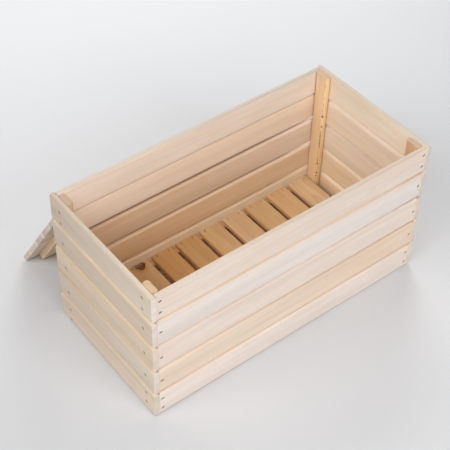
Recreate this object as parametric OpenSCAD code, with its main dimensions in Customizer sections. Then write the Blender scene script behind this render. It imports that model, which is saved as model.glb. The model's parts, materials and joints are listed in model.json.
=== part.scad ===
// Slatted softwood shipping crate with a loose slatted lid.
// Every wall is a row of rounded slats stapled to four corner posts.
// The floor slats lie on two bearers, and the lid leans against the back wall.
// Origin: middle of the front wall's underside, on the ground. X runs along
// the crate, Y from the front wall to the back wall, Z up.

/* [Crate] */
// Outside length of the crate
crate_l = 800; // [730:10:1000]
// Outside width of the crate
crate_w = 390; // [330:5:500]
// Outside height of the walls
crate_h = 400; // [340:5:500]

/* [Slats] */
// Thickness of wall, floor and lid slats
slat_t = 14; // [13:0.5:16]
// Gap between neighbouring wall slats
wall_gap = 6.25; // [2:0.25:12]
// How far the back wall's second slat sits above its even spacing; the third rises half as far
back_slat_rise = 6; // [0:0.5:8]
// Width of a floor slat
floor_slat_w = 62; // [50:1:72]
// Gap between the last floor slat and the right end's posts
floor_end_gap = 3; // [0:0.5:8]
// Gap between neighbouring lid slats
lid_gap = 8.75; // [3:0.25:14]
// Rounding of the long edges of a wall slat
slat_edge_r = 6; // [2:0.5:6]
// Rounding of the long edges of a lid slat
lid_edge_r = 2; // [1:0.5:6]
// Rounding of the long edges of a floor slat
floor_edge_r = 2; // [1:0.5:5]

/* [Frame] */
// Thickness of corner posts and floor bearers
post_t = 16; // [14:0.5:20]
// Width of corner posts
post_w = 40; // [30:1:50]
// Distance from the rim down to the post tops
post_drop = 3; // [1:0.5:10]
// Height of the floor bearers
bearer_h = 35; // [30:1:45]
// Rounding of the long edges of the posts
post_edge_r = 6; // [1:0.5:6.5]
// Rounding of the long edges of bearers and lid battens
frame_edge_r = 1.5; // [0.5:0.5:3]

/* [Lid] */
// Play all round between the fitted lid and the walls
lid_play = 1; // [0.5:0.5:4]
// Width of a lid batten
batten_w = 40; // [30:1:50]
// Thickness of a lid batten
batten_t = 18; // [14:0.5:20]
// Distance from each end of the lid to its batten
batten_end_inset = 35; // [30:1:90]
// Distance from the lid's long edges to the ends of its battens
batten_side_inset = 15; // [8:1:16]
// Angle between the leaning lid and the ground
lid_lean = 57; // [50:1:70]

/* [Staples] */
// Width of a staple across its crown
staple_w = 7; // [5:0.5:9]
// Thickness of the staple wire
staple_wire = 1.2; // [0.8:0.1:1.4]
// Length of a staple's legs
staple_leg = 24; // [18:1:25]
// How deep a crown sits below the surface
staple_sink = 0.8; // [0.4:0.1:1.2]
// Usual tilt of a crown on the walls
staple_tilt = 30; // [0:5:45]

/* [Hidden] */
wall_rows = 5;
floor_slats = 10;
lid_slats = 5;
arc_steps = 5;
// Hairline gap where a loose or dropped-in piece stops short of a wall
hair = 0.2;

slat_h = (crate_h - (wall_rows - 1) * wall_gap) / wall_rows;
post_h = crate_h - post_drop;

// Middle of the crate, measured back from the middle of the front wall
centre_y = (crate_w - slat_t) / 2;

// Clear spans between opposite walls, and between the posts of a long wall
inner_l = crate_l - 2 * slat_t;
inner_w = crate_w - 2 * slat_t;
floor_l = inner_l - 2 * post_t;

floor_top = bearer_h + slat_t;
floor_slat_l = inner_w - 2 * hair;
floor_pitch = (floor_l - floor_end_gap - floor_slat_w) / (floor_slats - 1);

lid_l = inner_l - 2 * lid_play;
lid_w = inner_w - 2 * lid_play;
lid_slat_w = (lid_w - (lid_slats - 1) * lid_gap) / lid_slats;
batten_x = lid_l / 2 - batten_end_inset - batten_w / 2;
batten_l = lid_w - 2 * batten_side_inset;

// The lid's lower outer corner: the lid rests on the lowest of its slat edge and
// batten ends, and leans on whichever of them reaches the back wall first.
lid_foot_z = max(lid_edge_r * (1 - sin(lid_lean)) + (slat_t - lid_edge_r) * cos(lid_lean),
                 (slat_t + batten_t) * cos(lid_lean) - batten_side_inset * sin(lid_lean));
lid_foot_y = centre_y + crate_w / 2 + hair
    + max(lid_edge_r + (lid_w - lid_edge_r) * cos(lid_lean)
              + (slat_t - lid_edge_r) * sin(lid_lean),
          (lid_w - batten_side_inset) * cos(lid_lean) + (slat_t + batten_t) * sin(lid_lean));

// Staples: the first and last slat of a wall take two at each post
pair_spread = 17;
// How far the left end's staples in the back post sit below their usual place, and nearer the front
back_left_drop = 8;
back_left_shift = 5;
hand_scatter = 2.5;
tilt_scatter = 6;
// How much steeper crowns sit at the right post of a long wall than at its middle
tilt_drift = 13;
long_staple_x = crate_l / 2 - slat_t - post_t / 2;
end_staple_x = crate_w / 2 - slat_t - post_w / 2;
floor_staple_x = inner_w / 2 - post_t / 2;
floor_staple_spread = 18;
bearer_staples = 4;
bearer_staple_pitch = floor_l / bearer_staples;
lid_staple_spread = 14;

// Which way each wall faces, as a turn about Z from the front wall
front = 0;
right = 90;
back = 180;
left = 270;

// Wood and metal tones
cream = [0.92, 0.86, 0.79];
pale = [0.91, 0.89, 0.87];
straw = [0.91, 0.83, 0.70];
grey_cream = [0.83, 0.78, 0.71];
honey = [0.84, 0.66, 0.46];
amber = [0.78, 0.58, 0.37];
dark_steel = [0.35, 0.32, 0.30];

// ---- Places on the walls ----

// How far a wall slat sits above its even spacing
function row_rise(turn, row) = turn != back || row < 2 || row > 3 ? 0
    : min(back_slat_rise, wall_gap - hair) / (row - 1);

// Height of the middle of a wall slat; row 1 is the top one
function row_mid(turn, row) = (wall_rows - row) * (slat_h + wall_gap) + slat_h / 2
    + row_rise(turn, row);

// Repeatable unevenness between -1 and 1, as from work done by hand
function uneven(a, b) = sin(137 * a + 71 * b);

function row_offsets(row) = (row == 1 || row == wall_rows) ? [pair_spread, -pair_spread] : [0];

function is_long(turn) = turn == front || turn == back;

// Crowns rise to the right on the long walls and to the left on the end walls
function wall_tilt(turn, x) = is_long(turn) ? staple_tilt + sign(x) * tilt_drift : -staple_tilt;

function at_back_left(turn, x) = turn == left && x < 0;

// Staples of one row at one post, each as [x, y, tilt] on the wall's outer face
function row_staples(turn, row, x) = [
    for (dy = row_offsets(row)) [
        x + (at_back_left(turn, x) ? back_left_shift : 0),
        row_mid(turn, row) + dy + hand_scatter * uneven(row + dy, x)
            - (at_back_left(turn, x) ? back_left_drop : 0),
        wall_tilt(turn, x) + tilt_scatter * uneven(x + dy, row)
    ]
];

function post_staples(turn, x) = [
    for (row = [1:wall_rows]) for (p = row_staples(turn, row, x)) p
];

function row_points(turn, row, x) = concat(row_staples(turn, row, -x), row_staples(turn, row, x));

function bearer_points() = [
    for (k = [1:bearer_staples])
        [(k - (bearer_staples + 1) / 2) * bearer_staple_pitch, bearer_h / 2, 0]
];

// Staples of one floor slat, in the slat's own top-face frame
function floor_points(i) = [
    for (side = [-1, 1]) for (dy = [-1, 1]) [
        side * floor_staple_x,
        dy * floor_staple_spread,
        tilt_scatter * uneven(i, side + dy)
    ]
];

// Staples of one lid slat over both battens, in the lid's outer-face frame
function lid_points(i) = [
    for (side = [-1, 1]) for (dy = [-1, 1]) [
        side * batten_x,
        lid_slat_mid(i) + dy * lid_staple_spread,
        tilt_scatter * uneven(i + dy, side)
    ]
];

function floor_slat_x(i) = -floor_l / 2 + floor_slat_w / 2 + (i - 1) * floor_pitch;
function lid_slat_mid(i) = lid_slat_w / 2 + (i - 1) * (lid_slat_w + lid_gap);

// ---- Frames: x along the face, y up or across it, z out of it ----

module wall_face(turn) {
    depth = is_long(turn) ? crate_w : crate_l;
    translate([0, centre_y, 0])
        rotate([0, 0, turn])
            translate([0, -depth / 2, 0])
                rotate([90, 0, 0])
                    children();
}

// The same wall seen from inside the crate, with z pointing into the room
module bearer_face(turn) {
    wall_face(turn)
        translate([0, 0, -slat_t - post_t])
            rotate([0, 180, 0])
                children();
}

module floor_slat_face(i) {
    translate([floor_slat_x(i), centre_y, floor_top])
        rotate([0, 0, 90])
            children();
}

module lid_face() {
    translate([0, lid_foot_y, lid_foot_z])
        rotate([lid_lean, 0, 180])
            children();
}

// ---- Boards and staples ----

function corner_arc(cx, cy, r, start) = [
    for (k = [0:arc_steps])
        [cx + r * cos(start + 90 * k / arc_steps), cy + r * sin(start + 90 * k / arc_steps)]
];

function round_rect(w, h, r) = concat(
    corner_arc(w / 2 - r, h / 2 - r, r, 0),
    corner_arc(r - w / 2, h / 2 - r, r, 90),
    corner_arc(r - w / 2, r - h / 2, r, 180),
    corner_arc(w / 2 - r, r - h / 2, r, 270)
);

// Board of length l along x and width w along y, its top face at z = 0
module board(l, w, t, r) {
    translate([-l / 2, 0, -t / 2])
        rotate([90, 0, 90])
            linear_extrude(l)
                polygon(round_rect(w, t, r));
}

module staple() {
    leg_x = (staple_w - staple_wire) / 2;
    translate([0, 0, -staple_sink]) {
        translate([-staple_w / 2, -staple_wire / 2, -staple_wire])
            cube([staple_w, staple_wire, staple_wire]);
        for (side = [-1, 1])
            translate([side * leg_x - staple_wire / 2, -staple_wire / 2, -staple_leg])
                cube([staple_wire, staple_wire, staple_leg]);
    }
}

// The hole that a staple leaves, open to the surface above its crown
module staple_hole() {
    staple();
    translate([-staple_w / 2, -staple_wire / 2, -staple_sink - staple_wire])
        cube([staple_w, staple_wire, 2 * staple_sink + staple_wire]);
}

module at_points(points) {
    for (p = points)
        translate([p[0], p[1], 0])
            rotate([0, 0, p[2]])
                children();
}

// ---- Walls ----

module wall_slat(turn, row, l, staple_x) {
    difference() {
        wall_face(turn)
            translate([0, row_mid(turn, row), 0])
                board(l, slat_h, slat_t, slat_edge_r);
        wall_face(turn)
            at_points(row_points(turn, row, staple_x))
                staple_hole();
        if (row == wall_rows && is_long(turn))
            bearer_face(turn)
                at_points(bearer_points())
                    staple_hole();
    }
}

module front_slat(row) {
    color(row == 2 ? pale : row == 4 ? straw : cream)
        wall_slat(front, row, inner_l, long_staple_x);
}

module back_slat(row) {
    color(cream)
        wall_slat(back, row, inner_l, long_staple_x);
}

module left_end_slat(row) {
    color(grey_cream)
        wall_slat(left, row, crate_w, end_staple_x);
}

module right_end_slat(row) {
    color(cream)
        wall_slat(right, row, crate_w, end_staple_x);
}

// ---- Posts and bearers ----

// One corner post. long_x and end_x are the staple places on the two walls it joins.
module corner_post(long_turn, long_x, end_turn, end_x) {
    color(honey)
        difference() {
            wall_face(end_turn)
                translate([end_x, 0, -slat_t - post_t / 2])
                    rotate([-90, 0, 0])
                        linear_extrude(post_h)
                            polygon(round_rect(post_w, post_t, post_edge_r));
            wall_face(long_turn)
                at_points(post_staples(long_turn, long_x))
                    staple_hole();
            wall_face(end_turn)
                at_points(post_staples(end_turn, end_x))
                    staple_hole();
        }
}

module front_left_post() corner_post(front, -long_staple_x, left, end_staple_x);
module front_right_post() corner_post(front, long_staple_x, right, -end_staple_x);
module back_right_post() corner_post(back, -long_staple_x, right, end_staple_x);
module back_left_post() corner_post(back, long_staple_x, left, -end_staple_x);

module bearer(turn) {
    color(amber)
        difference() {
            bearer_face(turn)
                translate([0, bearer_h / 2, 0])
                    board(floor_l, bearer_h, post_t, frame_edge_r);
            bearer_face(turn)
                at_points(bearer_points())
                    staple_hole();
            for (i = [1:floor_slats])
                floor_slat_face(i)
                    at_points(floor_points(i))
                        staple_hole();
        }
}

module front_bearer() bearer(front);
module back_bearer() bearer(back);

// ---- Floor ----

module floor_slat(i) {
    color(amber)
        floor_slat_face(i)
            difference() {
                board(floor_slat_l, floor_slat_w, slat_t, floor_edge_r);
                at_points(floor_points(i))
                    staple_hole();
            }
}

// ---- Lid ----

// Lid slats are counted from the foot of the leaning lid upwards
module lid_slat(i) {
    color(grey_cream)
        lid_face()
            difference() {
                translate([0, lid_slat_mid(i), 0])
                    board(lid_l, lid_slat_w, slat_t, lid_edge_r);
                at_points(lid_points(i))
                    staple_hole();
            }
}

module lid_batten(x) {
    color(honey)
        lid_face()
            difference() {
                translate([x, lid_w / 2, -slat_t])
                    rotate([0, 0, 90])
                        board(batten_l, batten_w, batten_t, frame_edge_r);
                for (i = [1:lid_slats])
                    at_points(lid_points(i))
                        staple_hole();
            }
}

module left_lid_batten() lid_batten(batten_x);
module right_lid_batten() lid_batten(-batten_x);

// ---- Staples, one node for each row of them ----

module wall_staples(turn, x) {
    color(dark_steel)
        wall_face(turn)
            at_points(concat(post_staples(turn, -x), post_staples(turn, x)))
                staple();
}

module front_staples() wall_staples(front, long_staple_x);
module back_staples() wall_staples(back, long_staple_x);
module left_end_staples() wall_staples(left, end_staple_x);
module right_end_staples() wall_staples(right, end_staple_x);

module bearer_staple_rows() {
    color(dark_steel)
        for (turn = [front, back])
            bearer_face(turn)
                at_points(bearer_points())
                    staple();
}

module floor_staples() {
    color(dark_steel)
        for (i = [1:floor_slats])
            floor_slat_face(i)
                at_points(floor_points(i))
                    staple();
}

module lid_staples() {
    color(dark_steel)
        lid_face()
            for (i = [1:lid_slats])
                at_points(lid_points(i))
                    staple();
}

front_slat(1);  // front_slat_1
front_slat(2);  // front_slat_2
front_slat(3);  // front_slat_3
front_slat(4);  // front_slat_4
front_slat(5);  // front_slat_5
back_slat(1);  // back_slat_1
back_slat(2);  // back_slat_2
back_slat(3);  // back_slat_3
back_slat(4);  // back_slat_4
back_slat(5);  // back_slat_5
left_end_slat(1);  // left_end_slat_1
left_end_slat(2);  // left_end_slat_2
left_end_slat(3);  // left_end_slat_3
left_end_slat(4);  // left_end_slat_4
left_end_slat(5);  // left_end_slat_5
right_end_slat(1);  // right_end_slat_1
right_end_slat(2);  // right_end_slat_2
right_end_slat(3);  // right_end_slat_3
right_end_slat(4);  // right_end_slat_4
right_end_slat(5);  // right_end_slat_5
front_left_post();
front_right_post();
back_left_post();
back_right_post();
front_bearer();
back_bearer();
floor_slat(1);  // floor_slat_1
floor_slat(2);  // floor_slat_2
floor_slat(3);  // floor_slat_3
floor_slat(4);  // floor_slat_4
floor_slat(5);  // floor_slat_5
floor_slat(6);  // floor_slat_6
floor_slat(7);  // floor_slat_7
floor_slat(8);  // floor_slat_8
floor_slat(9);  // floor_slat_9
floor_slat(10);  // floor_slat_10
lid_slat(1);  // lid_slat_1
lid_slat(2);  // lid_slat_2
lid_slat(3);  // lid_slat_3
lid_slat(4);  // lid_slat_4
lid_slat(5);  // lid_slat_5
left_lid_batten();
right_lid_batten();
front_staples();
back_staples();
left_end_staples();
right_end_staples();
bearer_staple_rows();  // bearer_staples
floor_staples();
lid_staples();
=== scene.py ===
"""Looks for the slatted pine crate: planed boards, bent staples, softwood grain and a soft studio."""
import json
import math

import bmesh
import bpy
import numpy as np
from mathutils import Matrix, Quaternion, Vector, noise


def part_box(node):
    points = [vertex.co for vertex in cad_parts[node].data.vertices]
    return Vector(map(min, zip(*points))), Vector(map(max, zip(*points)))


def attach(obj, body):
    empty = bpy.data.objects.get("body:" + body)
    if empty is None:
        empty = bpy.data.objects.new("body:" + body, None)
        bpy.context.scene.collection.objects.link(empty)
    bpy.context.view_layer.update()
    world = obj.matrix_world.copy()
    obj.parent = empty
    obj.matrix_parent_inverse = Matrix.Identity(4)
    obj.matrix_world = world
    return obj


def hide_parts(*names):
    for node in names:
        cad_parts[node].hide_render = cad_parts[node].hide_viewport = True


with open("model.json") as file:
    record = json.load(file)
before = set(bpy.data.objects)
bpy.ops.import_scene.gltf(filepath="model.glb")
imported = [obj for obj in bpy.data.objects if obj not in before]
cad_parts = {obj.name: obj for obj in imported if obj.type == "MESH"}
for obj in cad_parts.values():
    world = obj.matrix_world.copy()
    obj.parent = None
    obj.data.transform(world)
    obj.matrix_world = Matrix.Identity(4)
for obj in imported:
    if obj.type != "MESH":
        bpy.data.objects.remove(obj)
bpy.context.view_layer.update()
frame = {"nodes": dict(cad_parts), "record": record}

MM = 0.001
X, Y, Z = Vector((1, 0, 0)), Vector((0, 1, 0)), Vector((0, 0, 1))

# Edges and faces of the boards, as the joiner left them
SLAT_ROUND = 6.0 * MM
LID_ROUND = 2.0 * MM
FLOOR_ROUND = 2.0 * MM
POST_ROUND = 6.0 * MM
FRAME_ROUND = 1.5 * MM
END_ARRIS = 0.7 * MM
PLANED_DEPTH = 0.12 * MM

# How finely a board's mesh is divided: round each edge, along the grain and across it
CORNER_STEPS = 6
STATION = 11 * MM
ACROSS = 7 * MM

# Staples
WIRE = 1.2 * MM
BEND = 1.3 * MM
SLOT_PLAY = 0.45 * MM
CRUSH_SIDE = 1.0 * MM
CRUSH_END = 0.4 * MM
CRUSH_DEPTH = 0.6 * MM
CRUSH_LIP = 0.3 * MM
LEG_PLAY = 0.08 * MM

# The floor's staples are barely crushed in, and barely darken the wood with stain and painted shade
FLOOR_CRUSH = 0.25
FLOOR_STAIN_AND_SHADE = 0.1

# Outline of a knot where two branches grew together: a notch at one end and three soft lobes
NOTCH_DEPTH = 0.35
NOTCH_SPREAD = 0.56
LOBE_DEPTH = 0.084

BODY_OF = {node: body for body, nodes in frame["record"]["behaviour"]["bodies"].items() for node in nodes}


# ---- Reading places from the frame ----

def node_points(node):
    """Every corner of a CAD node, in the row frame."""
    return np.array([v.co for v in frame["nodes"][node].data.vertices], float)


def lid_axes():
    """Up the leaning lid, and out of its outer face."""
    low = node_points("lid_slat_1").mean(0)
    high = node_points("lid_slat_5").mean(0)
    up = Vector(high - low).normalized()
    return up, X.cross(up) * -1


def crate_middle():
    """Middle of the crate's footprint, on the ground."""
    front_low, front_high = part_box("front_slat_5")
    back_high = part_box("back_slat_5")[1]
    return Vector(((front_low.x + front_high.x) / 2, (front_low.y + back_high.y) / 2, front_low.z))


LID_UP, LID_OUT = lid_axes()
MIDDLE = crate_middle()

# For each kind of board: the way its grain runs, and the way its better face looks
BOARD_AXES = {
    "front_slat": (X, -Y),
    "back_slat": (-X, Y),
    "left_end_slat": (-Y, -X),
    "right_end_slat": (Y, X),
    "front_left_post": (Z, X),
    "back_left_post": (Z, X),
    "front_right_post": (Z, -X),
    "back_right_post": (Z, -X),
    "front_bearer": (X, Y),
    "back_bearer": (-X, -Y),
    "floor_slat": (Y, Z),
    "lid_slat": (-X, LID_OUT),
    "left_lid_batten": (LID_UP, -LID_OUT),
    "right_lid_batten": (LID_UP, -LID_OUT),
}


def kind_of(node):
    return node if node in BOARD_AXES else node.rsplit("_", 1)[0]


def board_place(node):
    """A board's own frame at its centre, and its length, width and thickness."""
    grain, face = BOARD_AXES[kind_of(node)]
    across = face.cross(grain)
    axes = np.array([grain, across, face])
    local = node_points(node) @ axes.T
    low, high = local.min(0), local.max(0)
    place = Matrix(axes.T.tolist()).to_4x4()
    place.translation = Vector(axes.T @ ((low + high) / 2))
    return place, Vector(high - low)


def staple_places(node, out_of):
    """Each staple of a node as (middle of its crown, direction along the crown, outward, leg length)."""
    mesh = frame["nodes"][node].data
    keys = {}
    weld = [keys.setdefault(tuple(round(c, 6) for c in v.co), len(keys)) for v in mesh.vertices]
    parent = list(range(len(keys)))

    def root(i):
        while parent[i] != i:
            i = parent[i]
        return i

    for face in mesh.polygons:
        first = root(weld[face.vertices[0]])
        for v in face.vertices[1:]:
            parent[root(weld[v])] = first
    groups = {}
    for point, i in keys.items():
        groups.setdefault(root(i), []).append(point)
    places = []
    for points in groups.values():
        points = np.array(points)
        out = out_of(Vector(points.mean(0)))
        height = points @ np.array(out)
        crown = points[height > height.max() - 0.01 * MM]
        middle = crown.mean(0)
        along = Vector(np.linalg.svd(crown - middle)[2][0])
        places.append((Vector(middle), along, out, height.max() - height.min()))
    return sorted(places, key=lambda p: tuple(round(c, 5) for c in p[0]))


STAPLES = {
    "front_staples": lambda p: -Y,
    "back_staples": lambda p: Y,
    "left_end_staples": lambda p: -X,
    "right_end_staples": lambda p: X,
    "bearer_staples": lambda p: Y if p.y < MIDDLE.y else -Y,
    "floor_staples": lambda p: Z,
    "lid_staples": lambda p: LID_OUT,
}
PLACES = {node: staple_places(node, out_of) for node, out_of in STAPLES.items()}


# ---- Mesh work ----

def loft(rings):
    """A closed mesh from rings of points, all of one length, joined by quads."""
    rings = np.asarray(rings, float)
    count, size = rings.shape[:2]
    faces = []
    for k in range(count - 1):
        for i in range(size):
            j = (i + 1) % size
            a, b = k * size, (k + 1) * size
            faces.append((a + i, a + j, b + j, b + i))
    faces.append(tuple(range(size - 1, -1, -1)))
    faces.append(tuple((count - 1) * size + i for i in range(size)))
    return rings.reshape(-1, 3), faces


def mesh_from(name, shells):
    """One mesh from several (points, faces) shells."""
    points, faces, start = [], [], 0
    for shell_points, shell_faces in shells:
        points.extend(shell_points)
        faces.extend(tuple(i + start for i in face) for face in shell_faces)
        start += len(shell_points)
    mesh = bpy.data.meshes.new(name)
    mesh.from_pydata([tuple(p) for p in points], [], faces)
    bm = bmesh.new()
    bm.from_mesh(mesh)
    bmesh.ops.recalc_face_normals(bm, faces=bm.faces)
    bm.to_mesh(mesh)
    bm.free()
    return mesh


def new_object(name, mesh, place=None):
    obj = bpy.data.objects.new(name, mesh)
    bpy.context.scene.collection.objects.link(obj)
    if place is not None:
        obj.matrix_world = place
    return obj


def steps(low, high, spacing):
    """Even steps from low to high, both included."""
    return np.linspace(low, high, max(2, round((high - low) / spacing) + 1))


def section(width, thick, radius):
    """A rounded rectangle's points and outward normals, anticlockwise."""
    half_w, half_t = width / 2 - radius, thick / 2 - radius
    points, normals = [], []
    corners = [(half_w, half_t, 0), (-half_w, half_t, 90), (-half_w, -half_t, 180), (half_w, -half_t, 270)]
    for index, (cy, cz, start) in enumerate(corners):
        for k in range(CORNER_STEPS + 1):
            angle = math.radians(start + 90 * k / CORNER_STEPS)
            normal = (math.cos(angle), math.sin(angle))
            points.append((cy + radius * normal[0], cz + radius * normal[1]))
            normals.append(normal)
        after = corners[(index + 1) % 4]
        end = math.radians(start + 90)
        normal = (math.cos(end), math.sin(end))
        first = np.array([cy + radius * normal[0], cz + radius * normal[1]])
        last = np.array([after[0] + radius * normal[0], after[1] + radius * normal[1]])
        inner = steps(0, 1, ACROSS / max(np.linalg.norm(last - first), ACROSS / 2))[1:-1]
        for share in inner:
            points.append(tuple(first + (last - first) * share))
            normals.append(normal)
    return np.array(points), np.array(normals)


def end_stations(length):
    """Places along a board and how far its outline draws in there, softening both ends."""
    half = length / 2
    curve = [math.radians(a) for a in (90, 60, 30, 0)]
    soft = [(half - END_ARRIS * (1 - math.sin(a)), END_ARRIS * (1 - math.cos(a))) for a in curve]
    body = [(x, 0.0) for x in steps(-half + 2 * END_ARRIS, half - 2 * END_ARRIS, STATION)]
    return [(-x, inset) for x, inset in soft] + body + [(x, inset) for x, inset in reversed(soft)]


def planed(point, seed):
    """How far a planed face lies under its true plane, from 0 to 1."""
    slow = noise.noise(Vector((point[0] * 7, point[1] * 22, point[2] * 22 + seed)))
    fine = noise.noise(Vector((point[0] * 45, point[1] * 130, point[2] * 130 - seed)))
    return 0.5 + 0.5 * (0.7 * slow + 0.3 * fine)


def board_mesh(name, size, radius, seed, hollow):
    """A planed board along its own x, its faces uneven by up to hollow."""
    points, normals = section(size.y, size.z, radius)
    rings = []
    for x, inset in end_stations(size.x):
        ring = []
        for (y, z), (ny, nz) in zip(points, normals):
            drop = inset + hollow * planed((x, y, z), seed)
            ring.append((x, y - ny * drop, z - nz * drop))
        rings.append(ring)
    return mesh_from(name, [loft(rings)])


# ---- Cutters for staple slots, leg holes and drying cracks ----

def stadium(half_length, half_width, count=8):
    """An oval outline with straight sides."""
    outline = []
    for side, start in ((1, -90), (-1, 90)):
        for k in range(count + 1):
            angle = math.radians(start + 180 * k / count)
            outline.append((side * (half_length - half_width) + half_width * math.cos(angle),
                            half_width * math.sin(angle)))
    return outline


def staple_frame(place):
    """A staple's own frame: x along its crown, z outward, its origin at the crown's middle."""
    middle, along, out = place[:3]
    side = out.cross(along)
    matrix = Matrix((along, side, out)).transposed().to_4x4()
    matrix.translation = middle
    return matrix


def put(shell, matrix):
    """A shell moved by a matrix."""
    points, faces = shell
    return [matrix @ Vector(p) for p in points], faces


def slot_cutter(place, crown, sink, crush):
    """The crushed mouth and the slot that a driven crown leaves, in the row frame."""
    half = crown / 2 + SLOT_PLAY
    narrow = WIRE / 2 + SLOT_PLAY
    long, wide = half + crush * CRUSH_END, narrow + crush * CRUSH_SIDE
    layers = [
        (long, wide, sink + 1.0 * MM),
        (long, wide, sink),
        (long - crush * CRUSH_LIP, wide - crush * CRUSH_LIP, sink - CRUSH_LIP),
        (half, narrow, sink - CRUSH_DEPTH),
        (half, narrow, -WIRE - 0.1 * MM),
    ]
    rings = [[(x, y, z) for x, y in stadium(length, width)] for length, width, z in layers]
    return put(loft(rings), staple_frame(place))


def leg_cutters(place, crown):
    half = WIRE / 2 + LEG_PLAY
    square = [(half, half), (-half, half), (-half, -half), (half, -half)]
    holes = []
    for side in (-1, 1):
        x0 = side * (crown - WIRE) / 2
        rings = [[(x0 + x, y, z) for x, y in square] for z in (-WIRE, -place[3] - 0.2 * MM)]
        holes.append(put(loft(rings), staple_frame(place)))
    return holes


def crack_cutter(length, width, depth, seed):
    """A thin wandering wedge along x, its mouth just above z = 0."""
    rings = []
    for share in np.linspace(0, 1, 14):
        swell = math.sin(math.pi * min(max(share, 0.02), 0.98)) ** 0.6
        x = (share - 0.5) * length
        y = 0.9 * MM * noise.noise(Vector((share * 4, seed, 0)))
        half = width / 2 * swell * (1 + 0.4 * noise.noise(Vector((share * 9, seed, 5))))
        low = -depth * swell
        rings.append([(x, y - half, 0.4 * MM), (x, y - half * 0.8, 0), (x, y + 0.1 * half, low),
                      (x, y + half * 0.8, 0), (x, y + half, 0.4 * MM)])
    return loft(rings)


def knot_rim(angle, heart):
    """A knot's radius at an angle from the board's length, as a share of its size."""
    notch = NOTCH_DEPTH * math.exp(-(angle / NOTCH_SPREAD) ** 2)
    return 1 - heart * (notch + LOBE_DEPTH * math.cos(3 * angle))


def knot_pit(knot, top):
    """The hollow of a knot that has fallen out, open at height top."""
    rings = []
    for height, share in ((0.5 * MM, 1.0), (0.0, 1.0), (-0.6 * knot["pit"], 0.93), (-knot["pit"], 0.78)):
        ring = []
        for k in range(36):
            angle = 2 * math.pi * k / 36 - math.pi
            ragged = 1 + 0.07 * noise.noise(Vector((2 * math.cos(angle), 2 * math.sin(angle), 0.4)))
            radius = knot["size"] * share * ragged * knot_rim(angle, knot["heart"])
            ring.append((knot["x"] + radius * math.cos(angle), knot["y"] + radius * math.sin(angle),
                         top + height))
        rings.append(ring)
    return loft(rings)


def cut(obj, shells):
    """Takes the closed shells out of obj."""
    if not shells:
        return
    mesh = mesh_from("cutter", shells)
    cutter = new_object("cutter", mesh)
    modifier = obj.modifiers.new("cut", "BOOLEAN")
    modifier.operation = "DIFFERENCE"
    modifier.solver = "EXACT"
    modifier.use_self = True
    modifier.object = cutter
    bpy.context.view_layer.update()
    graph = bpy.context.evaluated_depsgraph_get()
    result = bpy.data.meshes.new_from_object(obj.evaluated_get(graph))
    obj.modifiers.clear()
    obj.data = result
    bpy.data.objects.remove(cutter)


def crown_width(node):
    """Width of a staple over its legs."""
    middle, along = PLACES[node][0][:2]
    points = node_points(node)
    one_staple = 8 * MM
    near = points[np.linalg.norm(points - np.array(middle), axis=1) < one_staple]
    spread = (near - np.array(middle)) @ np.array(along)
    return spread.max() - spread.min()


CROWN = crown_width("front_staples")


def staples_in(place, size):
    """The staples whose legs run through a board, with how deep each crown sits under its face."""
    inverse = place.inverted()
    half = size / 2 + Vector((1, 1, 1)) * 0.1 * MM
    found = []
    for places in PLACES.values():
        for staple in places:
            middle, _, out, leg = staple
            ends = [inverse @ middle, inverse @ (middle - out * leg)]
            on_line = [ends[0].lerp(ends[1], share) for share in (0, 0.25, 0.5, 0.75, 1)]
            if any(all(abs(p[i]) < half[i] for i in range(3)) for p in on_line):
                out_local = inverse.to_3x3() @ out
                reach = max(range(3), key=lambda i: abs(out_local[i]))
                sink = size[reach] / 2 - abs(ends[0][reach])
                crown_here = all(abs(ends[0][i]) < half[i] for i in range(3))
                found.append((staple, sink if crown_here else None))
    return found


def staple_cuts(place, size, crush):
    shells = []
    for staple, sink in staples_in(place, size):
        if sink is not None:
            shells.append(slot_cutter(staple, CROWN, sink, crush))
        shells.extend(leg_cutters(staple, CROWN))
    return shells


def mark_dents(mesh, place, size, cracks):
    """Marks the points down inside staple dents and cracks, where the wood is darkened: steel stain in part,
    painted shade in part.
    """
    points = np.array([v.co for v in mesh.vertices], float)
    inside = np.zeros(len(points), bool)
    mouth_x = CROWN / 2 + SLOT_PLAY + CRUSH_END
    mouth_y = WIRE / 2 + SLOT_PLAY + CRUSH_SIDE
    for staple, sink in staples_in(place, size):
        if sink is not None:
            to_staple = np.array(staple_frame(staple).inverted() @ place)
            x, y, z = (points @ to_staple[:3, :3].T + to_staple[:3, 3]).T
            inside |= (abs(x) < mouth_x) & (abs(y) < mouth_y) & (z < sink - 0.8 * CRUSH_LIP)
    for x, y, z, length, width, depth in cracks:
        away = abs(points - np.array((x, y, z)))
        inside |= (away[:, 0] < length / 2) & (away[:, 1] < 0.3 * width) & (away[:, 2] < 1.1 * depth)
    mesh.attributes.new("dent", "FLOAT", "POINT").data.foreach_set("value", inside.astype(float))


# ---- Staples ----

def wire_section():
    half, soft = WIRE / 2, 0.22 * MM
    outline = []
    for cx, cy, start in ((1, 1, 0), (-1, 1, 90), (-1, -1, 180), (1, -1, 270)):
        for k in range(3):
            angle = math.radians(start + 45 * k)
            outline.append((cx * (half - soft) + soft * math.cos(angle),
                            cy * (half - soft) + soft * math.sin(angle)))
    return outline


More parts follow.
